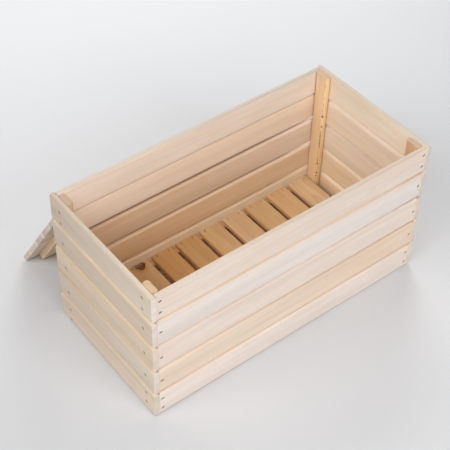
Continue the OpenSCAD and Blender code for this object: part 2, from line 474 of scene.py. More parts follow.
def staple_shell(place, seed):
    """A bent wire staple: chisel tips, legs, rounded shoulders and a slightly hollow crown."""
    leg, half = place[3], CROWN / 2 - WIRE / 2
    centre_z = -WIRE / 2
    right = [(half, -leg + 0.02 * MM, 0.25), (half, -leg + 1.6 * MM, 1.0), (half, -leg / 2, 1.0)]
    for k in range(6):
        angle = math.radians(90 * k / 5)
        right.append((half - BEND + BEND * math.cos(angle), centre_z - BEND + BEND * math.sin(angle), 1.0))
    dip = 0.15 * MM * (1 + noise.noise(Vector((seed, 0.3, 0.7))))
    crown = [(half * share, centre_z - dip * (1 - share * share), 1.0) for share in (0.4, 0.0, -0.4)]
    left = [(-x, z, taper) for x, z, taper in reversed(right)]
    path = right + crown + left
    rings = []
    for i, (x, z, taper) in enumerate(path):
        before, after = path[max(i - 1, 0)], path[min(i + 1, len(path) - 1)]
        tangent = Vector((after[0] - before[0], 0, after[1] - before[1])).normalized()
        flat = Vector((0, 1, 0))
        normal = tangent.cross(flat)
        rings.append([Vector((x, 0, z)) + flat * a + normal * b * taper for a, b in wire_section()])
    return put(loft([[tuple(p) for p in ring] for ring in rings]), staple_frame(place))


def build_staples():
    for node, places in PLACES.items():
        shells = [staple_shell(place, seed) for seed, place in enumerate(places)]
        obj = new_object(node + "_bent", mesh_from(node + "_bent", shells))
        # The floor's wire is painted light against the floor's shade
        wire = "coppered_wire" if node == "floor_staples" else "blackened_wire"
        finish_piece(obj, node, staple_metal(wire), sharp=50)


# ---- Materials ----

class Graph:
    """Short ways to place shader nodes and wire them."""

    def __init__(self, tree):
        self.tree = tree

    def node(self, kind, **settings):
        made = self.tree.nodes.new(kind)
        for key, value in settings.items():
            setattr(made, key, value)
        return made

    def feed(self, socket, value):
        if isinstance(value, bpy.types.NodeSocket):
            self.tree.links.new(value, socket)
        elif value is not None:
            socket.default_value = value

    def math(self, operation, a, b=None, c=None, clamp=False):
        made = self.node("ShaderNodeMath", operation=operation, use_clamp=clamp)
        for socket, value in zip(made.inputs, (a, b, c)):
            self.feed(socket, value)
        return made.outputs[0]

    def vector(self, operation, a, b=None, scale=None):
        made = self.node("ShaderNodeVectorMath", operation=operation)
        self.feed(made.inputs[0], a)
        self.feed(made.inputs[1], b)
        if scale is not None:
            self.feed(made.inputs["Scale"], scale)
        return made.outputs["Value"] if operation in ("LENGTH", "DOT_PRODUCT") else made.outputs[0]

    def split(self, vector):
        made = self.node("ShaderNodeSeparateXYZ")
        self.feed(made.inputs[0], vector)
        return made.outputs

    def join(self, x, y, z):
        made = self.node("ShaderNodeCombineXYZ")
        for socket, value in zip(made.inputs, (x, y, z)):
            self.feed(socket, value)
        return made.outputs[0]

    def noise(self, vector, scale=1.0, detail=2.0, rough=0.5):
        made = self.node("ShaderNodeTexNoise")
        self.feed(made.inputs["Vector"], vector)
        made.inputs["Scale"].default_value = scale
        made.inputs["Detail"].default_value = detail
        made.inputs["Roughness"].default_value = rough
        return made.outputs[0]

    def range(self, value, low, high, to_low=0.0, to_high=1.0, kind="SMOOTHSTEP"):
        made = self.node("ShaderNodeMapRange", interpolation_type=kind)
        for name, number in (("Value", value), ("From Min", low), ("From Max", high),
                             ("To Min", to_low), ("To Max", to_high)):
            self.feed(made.inputs[name], number)
        return made.outputs[0]

    def mix(self, share, a, b, blend="MIX"):
        made = self.node("ShaderNodeMix", data_type="RGBA", blend_type=blend)
        self.feed(made.inputs["Factor"], share)
        sockets = [s for s in made.inputs if s.type == "RGBA"]
        self.feed(sockets[0], a)
        self.feed(sockets[1], b)
        return [s for s in made.outputs if s.type == "RGBA"][0]


def rgb(red, green, blue):
    return (red, green, blue, 1.0)


# Marks in the wood: a knot's rings, the dark and the grey side of an open knot (painted shade and painted
# light in its pit), and rims, halos, stains and the stain and painted shade in staple dents, of which those
# that end in _TINT multiply the wood's own colour
KNOT_RINGS = (rgb(0.30, 0.13, 0.05), rgb(0.17, 0.08, 0.04))
OPEN_KNOT = (rgb(0.27, 0.10, 0.05), rgb(0.44, 0.32, 0.21))
KNOT_RIM = rgb(0.11, 0.035, 0.016)
HALO_TINT = rgb(0.86, 0.62, 0.40)
STAIN_AND_SHADE_TINT = rgb(0.10, 0.085, 0.065)
RESIN = rgb(0.42, 0.24, 0.12)
STREAK_TINT = rgb(0.50, 0.30, 0.16)
STREAK_HALO_TINT = rgb(0.74, 0.55, 0.36)


# Sockets of the softwood group
GRAIN_INPUTS = {"Place": "Vector", "Seed": "Float", "Pith Y": "Float", "Pith Z": "Float",
                "Ring Gap": "Float", "Pull": "Float", "Early": "Color", "Late": "Color",
                "Blush": "Color", "Contrast": "Float", "End Early": "Color", "End Late": "Color"}
GRAIN_OUTPUTS = {"Color": "Color", "Height": "Float", "Late Share": "Float", "End": "Float"}


def drawn_out(g, spot, along, across, detail=2.0, rough=0.5):
    """Noise drawn out along the grain, from its scales along and across it, per mm."""
    return g.noise(g.vector("MULTIPLY", spot, (along, across, across)), detail=detail, rough=rough)


def late_wood(g, given, place, spot):
    """How far a point lies in the dark late wood of its growth ring, from 0 to 1."""
    y, z = g.split(place)[1:3]
    slow = drawn_out(g, spot, 0.0022, 0.012, detail=1.0)
    small = drawn_out(g, spot, 0.009, 0.05)
    sway = g.math("MULTIPLY", g.math("SUBTRACT", slow, 0.5), 26.0)
    ripple = g.math("MULTIPLY", g.math("SUBTRACT", small, 0.5), 3.2)
    from_pith = g.vector("LENGTH", g.join(0.0, g.math("SUBTRACT", y, given["Pith Y"]),
                                          g.math("SUBTRACT", z, given["Pith Z"])))
    radius = g.math("ADD", g.math("ADD", from_pith, sway), g.math("ADD", ripple, given["Pull"]))
    uneven = g.noise(g.join(g.math("MULTIPLY", radius, 0.06), given["Seed"], 0.0), detail=1.0)
    turns = g.math("ADD", g.math("DIVIDE", radius, given["Ring Gap"]), g.math("MULTIPLY", uneven, 2.6))
    share = g.math("FRACT", turns)
    rise = g.range(share, 0.35, 0.9)
    fall = g.range(share, 0.93, 1.0, 1.0, 0.0)
    ring_tone = g.noise(g.join(g.math("FLOOR", turns), given["Seed"], 3.3), scale=0.73, detail=0.0)
    return g.math("MULTIPLY", g.math("MULTIPLY", rise, fall), g.range(ring_tone, 0.3, 0.7, 0.45, 1.0))


def wood_color(g, given, spot, late, fibre):
    """The colour of a long face: rings, blush, drift, streaks, fibres and resin canals."""
    streak = drawn_out(g, spot, 0.006, 0.2)
    cloud = drawn_out(g, spot, 0.0035, 0.02)
    drift = drawn_out(g, spot, 0.0016, 0.03, detail=1.0)
    canal = drawn_out(g, spot, 0.09, 1.6, detail=0.0)
    canals = g.math("MULTIPLY", g.range(canal, 0.70, 0.78), g.range(late, 0.1, 0.6))
    body = g.mix(g.math("MULTIPLY", late, given["Contrast"]), given["Early"], given["Late"])
    body = g.mix(g.range(cloud, 0.35, 0.7, 0.0, 0.75), body, given["Blush"])
    body = g.mix(1.0, body, g.range(drift, 0.25, 0.75, 0.91, 1.07, "LINEAR"), "MULTIPLY")
    body = g.mix(g.range(streak, 0.35, 0.75, 0.0, 0.34), body, given["Late"])
    body = g.mix(1.0, body, g.range(fibre, 0.2, 0.8, 0.955, 1.035, "LINEAR"), "MULTIPLY")
    return g.mix(g.math("MULTIPLY", canals, 0.28), body, RESIN)


def relief(g, spot, late, fibre, end):
    """Heights for the bump: fibres and raised late wood on a long face, open pores on end grain."""
    pores = drawn_out(g, spot, 2.5, 2.5)
    face_height = g.math("ADD", g.math("MULTIPLY", fibre, 0.6), g.math("MULTIPLY", late, 0.35))
    end_height = g.math("ADD", g.math("MULTIPLY", pores, 0.9), g.math("MULTIPLY", late, 0.5))
    gap = g.math("SUBTRACT", end_height, face_height)
    return g.math("ADD", face_height, g.math("MULTIPLY", gap, end))


def grain_group():
    """Softwood cut from a log: growth rings round a pith, fibres along x, darker end grain."""
    tree = bpy.data.node_groups.new("softwood", "ShaderNodeTree")
    for way, sockets in (("INPUT", GRAIN_INPUTS), ("OUTPUT", GRAIN_OUTPUTS)):
        for name, kind in sockets.items():
            tree.interface.new_socket(name, in_out=way, socket_type="NodeSocket" + kind)
    g = Graph(tree)
    given = g.node("NodeGroupInput").outputs
    place = g.vector("SCALE", given["Place"], scale=1 / MM)
    shift = g.vector("SCALE", (137.0, 51.0, 93.0), scale=given["Seed"])
    spot = g.vector("ADD", place, shift)
    late = late_wood(g, given, place, spot)
    fibre = drawn_out(g, spot, 0.035, 2.2, detail=3.0, rough=0.65)
    normal = g.split(g.node("ShaderNodeTexCoord").outputs["Normal"])
    end = g.range(g.math("ABSOLUTE", normal[0]), 0.6, 0.85)
    body = wood_color(g, given, spot, late, fibre)
    end_tone = g.mix(g.math("MULTIPLY", late, 0.75), given["End Early"], given["End Late"])
    body = g.mix(end, body, g.mix(1.0, body, end_tone, "MULTIPLY"))
    results = {"Color": body, "Height": relief(g, spot, late, fibre, end), "Late Share": late, "End": end}
    made = g.node("NodeGroupOutput").inputs
    for name, value in results.items():
        g.feed(made[name], value)
    return tree


SOFTWOOD = grain_group()


def knot_field(g, place, knot):
    """How far outside a knot a point lies, in knot radii: 1 at its rim, below 1 inside."""
    x, y, z = g.split(place)[:3]
    wander = g.math("MULTIPLY", g.math("SUBTRACT", g.noise(place, scale=110.0, detail=2.0), 0.5), 0.3)
    along = g.math("DIVIDE", g.math("SUBTRACT", x, knot["x"]), knot["size"])
    aside = g.math("DIVIDE", g.math("SUBTRACT", y, knot["y"]), knot["size"])
    down = g.math("DIVIDE", g.math("SUBTRACT", z, knot["z"]), knot["deep"])
    reach = g.vector("LENGTH", g.join(along, aside, down))
    angle = g.math("ARCTAN2", aside, along)
    notch = g.math("EXPONENT", g.math("MULTIPLY", g.math("MULTIPLY", angle, angle), -1 / NOTCH_SPREAD ** 2))
    lobes = g.math("COSINE", g.math("MULTIPLY", angle, 3.0))
    dip = g.math("ADD", g.math("MULTIPLY", notch, NOTCH_DEPTH), g.math("MULTIPLY", lobes, LOBE_DEPTH))
    rim = g.math("SUBTRACT", 1.0, g.math("MULTIPLY", dip, knot["heart"]))
    return g.math("ADD", g.math("DIVIDE", reach, rim), wander)


def painted_lit_side(g, place, knot):
    """1 on the side of an open knot painted lit and grey, 0 on its side painted dark with shade."""
    x, y = g.split(place)[:2]
    along = g.math("DIVIDE", g.math("SUBTRACT", x, knot["x"]), knot["size"])
    aside = g.math("DIVIDE", g.math("SUBTRACT", y, knot["y"]), knot["size"])
    lean = g.math("ADD", along, g.math("MULTIPLY", aside, 0.15))
    return g.range(lean, -0.1, 0.95)


def pin_knot(x, y, z, size):
    """A small knot breaking out at one spot, all in mm from the board's centre."""
    return {"x": x * MM, "y": y * MM, "z": z * MM, "size": size * MM, "deep": size * MM, "heart": 0.0,
            "pit": 0.0}


def heart_knot(x, y, size, pit):
    """Two branches grown together, the dead wood fallen out to a depth of pit, in mm."""
    return {"x": x * MM, "y": y * MM, "z": 0.0, "size": size * MM, "deep": 1.0, "heart": 1.0,
            "pit": pit * MM}


def log_cut(tone, seed, size):
    """How a board lay in its log: the pith's place beside it and the gap between rings, in mm."""
    rng = np.random.default_rng(seed)
    flat_sawn = rng.random() < tone.get("flat", 0.5)
    pith_y = rng.uniform(-0.5, 0.5) * size.y / MM
    pith_z = -rng.uniform(22, 55)
    if not flat_sawn:
        pith_y = rng.choice([-1, 1]) * rng.uniform(70, 120)
        pith_z = rng.uniform(-30, 30)
    return pith_y, pith_z, rng.uniform(2.4, 4.2)


def grain(g, place, tone, seed, size, pull):
    """The outputs of the softwood group for one board. pull bends its rings round the knots."""
    wood = g.node("ShaderNodeGroup", node_tree=SOFTWOOD)
    pith_y, pith_z, ring_gap = log_cut(tone, seed, size)
    values = {"Place": place, "Seed": float(seed % 97) + 0.37, "Pith Y": pith_y, "Pith Z": pith_z,
              "Ring Gap": ring_gap, "Pull": pull, "Early": tone["early"], "Late": tone["late"],
              "Blush": tone["blush"], "Contrast": tone.get("contrast", 0.5),
              "End Early": tone["end"], "End Late": tone["end_late"]}
    for key, value in values.items():
        g.feed(wood.inputs[key], value)
    return wood.outputs


def knot_pull(g, knots, fields):
    """How far the rings swing out round the knots, in mm."""
    pull = 0.0
    for knot, field in zip(knots, fields):
        swell = g.range(field, 0.0, 4.5, 1.0, 0.0)
        pull = g.math("ADD", pull, g.math("MULTIPLY", swell, knot["size"] / MM * 1.6))
    return pull


def graded(g, place, color, grade, length):
    """Painted light and shade along a board: its colour grows lighter or darker from one end to the other."""
    far_end = g.math("DIVIDE", g.split(place)[0], length / 2)
    for side, drift in ((1.0, grade), (-1.0, tuple(1 / c for c in grade))):
        share = g.math("MULTIPLY", far_end, side, clamp=True)
        color = g.mix(share, color, g.mix(1.0, color, rgb(*drift), "MULTIPLY"))
    return color


def painted_edge_light(g, color, upper, lower):
    """Painted light and shade on the rounded long edges, which differ a little from the face: lighter where
    light catches them, darker in shade.
    """
    aside = g.split(g.node("ShaderNodeTexCoord").outputs["Normal"])[1]
    for side, edge in ((1.0, upper), (-1.0, lower)):
        share = g.range(g.math("MULTIPLY", aside, side), 0.05, 0.75)
        color = g.mix(share, color, g.mix(1.0, color, edge, "MULTIPLY"))
    return color


def knotted(g, place, color, height, knot, field):
    """Adds a knot: its warm halo, ringed core and dark rim. An open knot's core is painted lit grey on one
    side and dark with painted shade on the other, where alone its rim stays dark.
    """
    halo = g.range(field, 1.0, 2.4, 0.55, 0.0)
    rings = g.math("SINE", g.math("MULTIPLY", field, 26.0))
    core = g.mix(g.range(rings, -1.0, 1.0, 0.0, 0.6), *KNOT_RINGS)
    rim = g.math("MULTIPLY", g.range(field, 0.80, 0.95), g.range(field, 1.0, 1.10, 1.0, 0.0))
    if knot["pit"]:
        lit_side = painted_lit_side(g, place, knot)
        core = g.mix(lit_side, *OPEN_KNOT)
        rim = g.math("MULTIPLY", rim, g.math("SUBTRACT", 1.0, lit_side))
    color = g.mix(halo, color, g.mix(1.0, color, HALO_TINT, "MULTIPLY"))
    color = g.mix(g.range(field, 0.95, 1.08, 0.95, 0.0), color, core)
    color = g.mix(g.math("MULTIPLY", rim, 0.6), color, KNOT_RIM)
    return color, g.math("SUBTRACT", height, g.math("MULTIPLY", rim, 1.2))


def darkened_dents(g, color, strength):
    """Darkens the wood inside a staple's dent or a crack: steel stain in part, painted shade in part."""
    dent = g.node("ShaderNodeAttribute", attribute_name="dent").outputs["Fac"]
    darkened = g.mix(1.0, color, STAIN_AND_SHADE_TINT, "MULTIPLY")
    return g.mix(g.math("MULTIPLY", dent, strength), color, darkened)


def planed_surface(g, color, height, late, end):
    """Bare planed wood: matt end grain, and late wood a little smoother than early."""
    shader = g.node("ShaderNodeBsdfPrincipled")
    g.feed(shader.inputs["Base Color"], color)
    rough = g.math("SUBTRACT", 0.66, g.math("MULTIPLY", late, 0.12))
    rough = g.math("ADD", rough, g.math("MULTIPLY", end, 0.2), clamp=True)
    g.feed(shader.inputs["Roughness"], rough)
    shader.inputs["Specular IOR Level"].default_value = 0.28
    bump = g.node("ShaderNodeBump")
    bump.inputs["Strength"].default_value = 0.35
    bump.inputs["Distance"].default_value = 0.25 * MM
    g.feed(bump.inputs["Height"], height)
    g.feed(shader.inputs["Normal"], bump.outputs[0])
    g.feed(g.node("ShaderNodeOutputMaterial").inputs["Surface"], shader.outputs[0])


def pine(name, tone, seed, size, knots=(), stain=None):
    """One board's material. tone is a dict from TONES, size the board's length, width and thickness."""
    material = bpy.data.materials.new(name)
    material.use_nodes = True
    material.node_tree.nodes.clear()
    g = Graph(material.node_tree)
    place = g.node("ShaderNodeTexCoord").outputs["Object"]
    fields = [knot_field(g, place, knot) for knot in knots]
    wood = grain(g, place, tone, seed, size, knot_pull(g, knots, fields))
    color, height = wood["Color"], wood["Height"]
    # Painted light and shade along the board
    color = graded(g, place, color, tone["grade"], size.x)
    # Painted highlights and painted shade on the rounded long edges
    color = painted_edge_light(g, color, tone["upper"], tone["lower"])
    for knot, field in zip(knots, fields):
        color, height = knotted(g, place, color, height, knot, field)
    if stain is not None:
        color = stain(g, place, color)
    color = darkened_dents(g, color, tone["dents"])
    planed_surface(g, color, height, wood["Late Share"], wood["End"])
    return material


# Two kinds of staple wire, each as its darker and lighter tone: blackened wire, and a light brown wire for
# the floor, painted light so that in the floor's shade it doesn't show dark
WIRES = {
    "blackened_wire": (rgb(0.040, 0.036, 0.028), rgb(0.085, 0.075, 0.060)),
    "coppered_wire": (rgb(0.36, 0.22, 0.11), rgb(0.55, 0.37, 0.20)),
}


def staple_metal(name):
    """Coated steel wire, smudged and finely scratched."""
    if name in bpy.data.materials:
        return bpy.data.materials[name]
    dark, light = WIRES[name]
    material = bpy.data.materials.new(name)
    material.use_nodes = True
    g = Graph(material.node_tree)
    shader = material.node_tree.nodes["Principled BSDF"]
    place = g.node("ShaderNodeTexCoord").outputs["Object"]
    smudge = g.noise(place, scale=900.0, detail=3.0)
    scratch = g.noise(g.vector("MULTIPLY", place, (4000.0, 4000.0, 600.0)), detail=1.0)
    color = g.mix(g.range(smudge, 0.35, 0.7), dark, light)
    g.feed(shader.inputs["Base Color"], color)
    shader.inputs["Metallic"].default_value = 0.6
    g.feed(shader.inputs["Roughness"], g.range(scratch, 0.3, 0.7, 0.42, 0.62))
    bump = g.node("ShaderNodeBump")
    bump.inputs["Strength"].default_value = 0.2
    bump.inputs["Distance"].default_value = 0.05 * MM
    g.feed(bump.inputs["Height"], smudge)
    g.feed(shader.inputs["Normal"], bump.outputs[0])
    return material


TONES = {
    "wall": {"early": rgb(0.83, 0.725, 0.62), "late": rgb(0.72, 0.53, 0.36), "blush": rgb(0.80, 0.66, 0.55),
             "contrast": 0.26},
    "pale": {"early": rgb(0.82, 0.76, 0.71), "late": rgb(0.74, 0.62, 0.50), "blush": rgb(0.80, 0.76, 0.74),
             "contrast": 0.2},
    "straw": {"early": rgb(0.83, 0.70, 0.54), "late": rgb(0.72, 0.50, 0.30), "blush": rgb(0.80, 0.64, 0.47),
              "contrast": 0.3},
    "end": {"early": rgb(0.78, 0.68, 0.56), "late": rgb(0.68, 0.52, 0.36), "blush": rgb(0.74, 0.65, 0.53),
            "contrast": 0.28, "end": rgb(1.13, 1.19, 1.32), "end_late": rgb(1.02, 1.02, 1.02)},
    "post": {"early": rgb(0.76, 0.53, 0.32), "late": rgb(0.62, 0.36, 0.17), "blush": rgb(0.72, 0.48, 0.27),
             "contrast": 0.4, "flat": 0.2, "end": rgb(0.87, 0.92, 1.06), "end_late": rgb(0.72, 0.66, 0.62)},
    "floor": {"early": rgb(0.70, 0.48, 0.28), "late": rgb(0.56, 0.31, 0.14), "blush": rgb(0.66, 0.42, 0.22),
              "contrast": 0.45},
    # The lid's wood is made paler to make up for the shade it leans in: painted light, offset on its end
    # grain
    "lid": {"early": rgb(0.90, 0.79, 0.66), "late": rgb(0.80, 0.62, 0.46), "blush": rgb(0.86, 0.73, 0.60),
            "contrast": 0.3, "end": rgb(0.79, 0.79, 0.88), "end_late": rgb(0.68, 0.64, 0.67)},
}

# How single boards differ from their kind, in red, green and blue: partly each board's own tone, partly
# painted light and shade that make up for how the studio light falls on it
TINTS = {
    "front_slat_1": (1.02, 1.02, 1.06), "front_slat_2": (1.03, 1.0, 0.99), "front_slat_3": (1.05, 1.05, 1.11),
    "front_slat_4": (1.05, 1.04, 1.11), "front_slat_5": (1.10, 1.13, 1.22),
    "back_slat_1": (1.02, 1.03, 1.06), "back_slat_2": (0.99, 0.93, 0.88), "back_slat_3": (0.90, 0.79, 0.68),
    "back_slat_4": (0.99, 0.88, 0.76), "back_slat_5": (1.13, 1.11, 1.02),
    "left_end_slat_1": (0.98, 0.95, 0.96), "left_end_slat_2": (0.97, 0.92, 0.91),
    "left_end_slat_3": (1.04, 0.98, 0.94), "left_end_slat_4": (1.04, 1.01, 1.03),
    "left_end_slat_5": (1.11, 1.05, 1.05),
    "right_end_slat_1": (1.17, 1.20, 1.18), "right_end_slat_2": (1.10, 1.10, 1.06),
    "right_end_slat_3": (1.02, 1.02, 0.99), "right_end_slat_4": (1.0, 0.98, 0.92),
    "right_end_slat_5": (1.12, 0.98, 0.8),
    "floor_slat_3": (1.34, 1.38, 1.29), "floor_slat_4": (1.14, 0.99, 0.73),
    "floor_slat_5": (1.09, 1.01, 0.82), "floor_slat_6": (1.17, 1.19, 1.13),
    "floor_slat_7": (1.23, 1.27, 1.33), "floor_slat_8": (1.1, 1.12, 1.06),
    "floor_slat_9": (1.18, 1.22, 1.21), "floor_slat_10": (1.14, 1.25, 1.35),
    "back_right_post": (1.17, 1.27, 1.34), "back_left_post": (0.96, 1.06, 1.22),
    "front_right_post": (0.97, 0.95, 0.97), "back_bearer": (1.34, 1.45, 1.4),
    "left_lid_batten": (1.24, 1.36, 1.6),
}

# Painted light and shade along a board: its tone toward the far end of its own x axis, where it is more than
# slight
PAINTED_FALLOFF = {
    "back_slat_1": (1.03, 1.0, 0.98), "back_slat_3": (0.93, 0.84, 0.73), "back_slat_4": (0.98, 0.90, 0.80),
    "back_slat_5": (0.99, 0.94, 0.88), "front_slat_4": (0.97, 0.95, 0.93),
    "left_end_slat_1": (1.11, 1.13, 1.14), "left_end_slat_2": (1.06, 1.06, 1.05),
    "left_end_slat_3": (1.06, 1.07, 1.08), "left_end_slat_4": (1.07, 1.10, 1.11),
    "left_end_slat_5": (1.06, 1.07, 1.06),
}

# Tones of the upper and lower long edges, against the face, and of the rim along the top row: painted
# highlights where light catches a rounded edge, painted shade where an edge turns down or into a gap
EDGES = {
    "front_slat": ((1.0, 0.95, 0.88), (0.95, 0.84, 0.72), (0.84, 0.81, 0.765)),
    "back_slat": ((1.15, 1.2, 1.25), (0.95, 0.88, 0.80), (0.77, 0.78, 0.775)),
    "left_end_slat": ((1.01, 0.98, 0.87), (0.95, 0.84, 0.72), (0.85, 0.84, 0.825)),
    "right_end_slat": ((1.0, 1.0, 1.02), (0.95, 0.88, 0.80), (0.74, 0.71, 0.70)),
    "back_right_post": ((0.95, 0.88, 0.80), (1.06, 1.07, 1.03), None),
    "left_lid_batten": ((1.0, 1.0, 1.0), (1.0, 1.0, 1.0), None),
    "lid_slat": ((1.0, 1.0, 1.04), (0.97, 0.95, 0.92), None),
}

# Boards whose upper edge has a painted highlight or painted shade of its own
OWN_UPPER = {
    "back_slat_2": (0.89, 0.86, 0.83), "back_slat_3": (1.09, 1.07, 1.07), "back_slat_4": (1.11, 1.14, 1.28),
    "back_slat_5": (1.12, 1.02, 0.93), "front_slat_2": (0.98, 0.90, 0.80), "front_slat_3": (0.97, 0.98, 0.99),
    "front_slat_4": (0.96, 0.95, 0.95), "left_end_slat_2": (1.05, 1.05, 0.96),
    "left_end_slat_4": (0.92, 0.86, 0.76), "right_end_slat_2": (0.95, 0.95, 0.97),
    "right_end_slat_3": (0.85, 0.80, 0.78), "right_end_slat_4": (1.08, 1.12, 1.2),
    "right_end_slat_5": (0.98, 1.11, 1.25),
}
# Edges of the other boards: painted shade on both long edges
PLAIN_EDGES = ((0.95, 0.88, 0.80), (0.95, 0.88, 0.80), None)

# Tones of end grain and of its rings, against the face, and how single boards differ from them: partly each
# board's own end grain, partly painted light and shade that make up for how the studio light falls on it
END_GRAIN = rgb(0.88, 0.92, 1.0)
END_RINGS = rgb(0.88, 0.84, 0.80)
END_TINTS = {
    "left_end_slat_1": (0.91, 0.89, 0.91), "left_end_slat_2": (0.91, 0.94, 1.0),
    "left_end_slat_3": (0.86, 0.86, 0.85), "left_end_slat_4": (0.87, 0.85, 0.85),
    "left_end_slat_5": (0.78, 0.78, 0.77),
    "right_end_slat_1": (0.87, 0.84, 0.85), "right_end_slat_2": (0.94, 0.96, 0.99),
    "right_end_slat_3": (1.05, 1.02, 1.01), "right_end_slat_4": (1.09, 1.10, 1.20),
    "right_end_slat_5": (1.03, 1.16, 1.33),
    "lid_slat_1": (1.1, 1.12, 1.08), "lid_slat_2": (1.1, 1.11, 1.12), "lid_slat_5": (0.98, 0.98, 0.97),
    "back_left_post": (0.87, 0.80, 0.79), "back_right_post": (0.91, 0.80, 0.79),
    "front_right_post": (1.0, 1.04, 1.19),
}


# The palest a wood colour may be
PALEST = 0.94


def tinted(tone, tint):
    """A tone with its wood colours multiplied by tint, kept below white."""
    changed = dict(tone)
    for key in ("early", "late", "blush"):
        changed[key] = rgb(*(min(c * t, PALEST) for c, t in zip(tone[key][:3], tint)))
    return changed


def kind_tone(node):
    """The tone of a board's kind. Fourth slats are straw, but not in the left end."""
    kind = kind_of(node)
    if node == "front_slat_2":
        return TONES["pale"]
    if kind == "left_end_slat":
        return TONES["end"]
    if kind in ("front_slat", "back_slat", "right_end_slat"):
        return TONES["straw" if node.endswith("_4") else "wall"]
    if kind == "lid_slat":
        return TONES["lid"]
    if "post" in kind or "batten" in kind:
        return TONES["post"]
    return TONES["floor"]


def tone_of(node):
    """All that pine() needs to know of a board's colours."""
    tone = tinted(kind_tone(node), TINTS.get(node, (1.0, 1.0, 1.0)))
    upper, lower, rim = EDGES.get(kind_of(node), PLAIN_EDGES)
    upper = OWN_UPPER.get(node, rim if rim and node.endswith("_1") else upper)
    tone["upper"] = rgb(*upper)
    tone["lower"] = rgb(*lower)
    tone["dents"] = FLOOR_STAIN_AND_SHADE if "floor" in node else 1.0
    tone["grade"] = PAINTED_FALLOFF.get(node, (1.0, 1.0, 1.0))
    for key, usual in (("end", END_GRAIN), ("end_late", END_RINGS)):
        tint = END_TINTS.get(node, (1.0, 1.0, 1.0))
        tone[key] = rgb(*(c * t for c, t in zip(tone.get(key, usual), tint)))
    return tone


# ---- Finishing pieces ----

def finish_piece(obj, node, material, sharp=35):
    """Gives a piece its material and shading, puts it in its node's stead and lets it ride."""
    mesh = obj.data
    mesh.materials.clear()
    mesh.materials.append(material)
    mesh.shade_smooth()
    mesh.set_sharp_from_angle(angle=math.radians(sharp))
    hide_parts(node)
    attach(obj, BODY_OF[node])


KNOTS = {
    "floor_slat_3": [heart_knot(170.5, -2.9, 13, 4)],
    "back_right_post": [pin_knot(77, -17.5, 6.5, 2.6), pin_knot(44, -17.5, 6.5, 2.0),
                        pin_knot(-83, -17, 6.5, 2.2), pin_knot(-116, -17, 6.5, 2.2),
                        pin_knot(-127, -16, 7, 1.8)],
}

# Drying cracks as (x, y, z of the mouth, length, width, depth)
CRACKS = {
    "back_right_post": [(-6 * MM, -17 * MM, 7.5 * MM, 38 * MM, 2.4 * MM, 4 * MM)],
}


def edge_round(node):
    """Rounding of a board's long edges."""
    if "floor" in node:
        return FLOOR_ROUND
    if "lid_slat" in node:
        return LID_ROUND
    if "slat" in node:
        return SLAT_ROUND
    return POST_ROUND if "post" in node else FRAME_ROUND


# The line along a post's inner edge that its dark streak follows, in the post's own frame
STREAK_Y = -17.0 * MM
STREAK_Z = 7.0 * MM


def arris_streak(g, place, color):
    """A dark streak that wanders in patches along the post's inner edge, with a broad warm halo toward its
    lower end.
    """
    x, y, z = g.split(place)[:3]
    bends = g.noise(g.join(x, 0.0, 0.0), scale=24.0)
    wander = g.math("MULTIPLY", g.math("SUBTRACT", bends, 0.5), 4.0 * MM)
    off_y = g.math("SUBTRACT", g.math("ADD", y, wander), STREAK_Y)
    away = g.vector("LENGTH", g.join(0.0, off_y, g.math("SUBTRACT", z, STREAK_Z)))
    patch = g.range(g.noise(g.join(x, 0.4, 0.0), scale=42.0, detail=2.0), 0.44, 0.62)
    line = g.math("MULTIPLY", g.range(away, 0.3 * MM, 1.6 * MM, 1.0, 0.0), patch)
    low = g.range(x, -0.11, 0.06, 1.0, 0.0)
    broad = g.math("MULTIPLY", g.range(away, 1.0 * MM, 6.0 * MM, 0.35, 0.0), low)
    color = g.mix(broad, color, g.mix(1.0, color, STREAK_HALO_TINT, "MULTIPLY"))
    dark = g.mix(1.0, color, STREAK_TINT, "MULTIPLY")
    return g.mix(g.math("MULTIPLY", line, 0.75), color, dark)


STAINS = {"back_right_post": arris_streak}


def own_cuts(to_row, size, knots, cracks):
    """Cutters for a board's open knots and cracks, moved from its own frame to the row frame."""
    shells = [put(knot_pit(knot, size.z / 2), to_row) for knot in knots if knot["pit"]]
    for seed, (x, y, z, length, width, depth) in enumerate(cracks):
        spot = to_row @ Matrix.Translation((x, y, z))
        shells.append(put(crack_cutter(length, width, depth, seed), spot))
    return shells


def build_board(node, seed):
    """A board with its staple slots, leg holes, open knots and cracks cut out."""
    place, size = board_place(node)
    name = node + "_board"
    obj = new_object(name, board_mesh(name, size, edge_round(node), seed * 1.7, PLANED_DEPTH), place)
    bpy.context.view_layer.update()
    knots, cracks = KNOTS.get(node, []), CRACKS.get(node, [])
    crush = FLOOR_CRUSH if "floor" in node else 1.0
    cut(obj, staple_cuts(place, size, crush) + own_cuts(obj.matrix_world, size, knots, cracks))
    mark_dents(obj.data, place, size, cracks)
    finish_piece(obj, node, pine(name, tone_of(node), seed, size, knots, STAINS.get(node)))


def build_boards():
    wooden = [part["node"] for part in frame["record"]["subparts"] if "staples" not in part["node"]]
    for seed, node in enumerate(wooden, start=11):
        build_board(node, seed)


# ---- Studio ----

# The photo's camera: where it stands round the crate, in degrees and metres, and its lens in mm
VIEW_AZIMUTH = -38.98
VIEW_ELEVATION = 44.98
VIEW_ROLL = 1.66
VIEW_DISTANCE = 2.802
VIEW_TARGET = MIDDLE + Vector((0.0098, 0.0807, 0.150))
LENS = 90.8
SENSOR = 36.0


def aim(obj, target, roll=0.0):
    """Turns a camera or light to look at target."""
    look = (target - obj.location).normalized()
    obj.rotation_mode = "QUATERNION"
    obj.rotation_quaternion = look.to_track_quat("-Z", "Y") @ Quaternion((0, 0, 1), math.radians(roll))


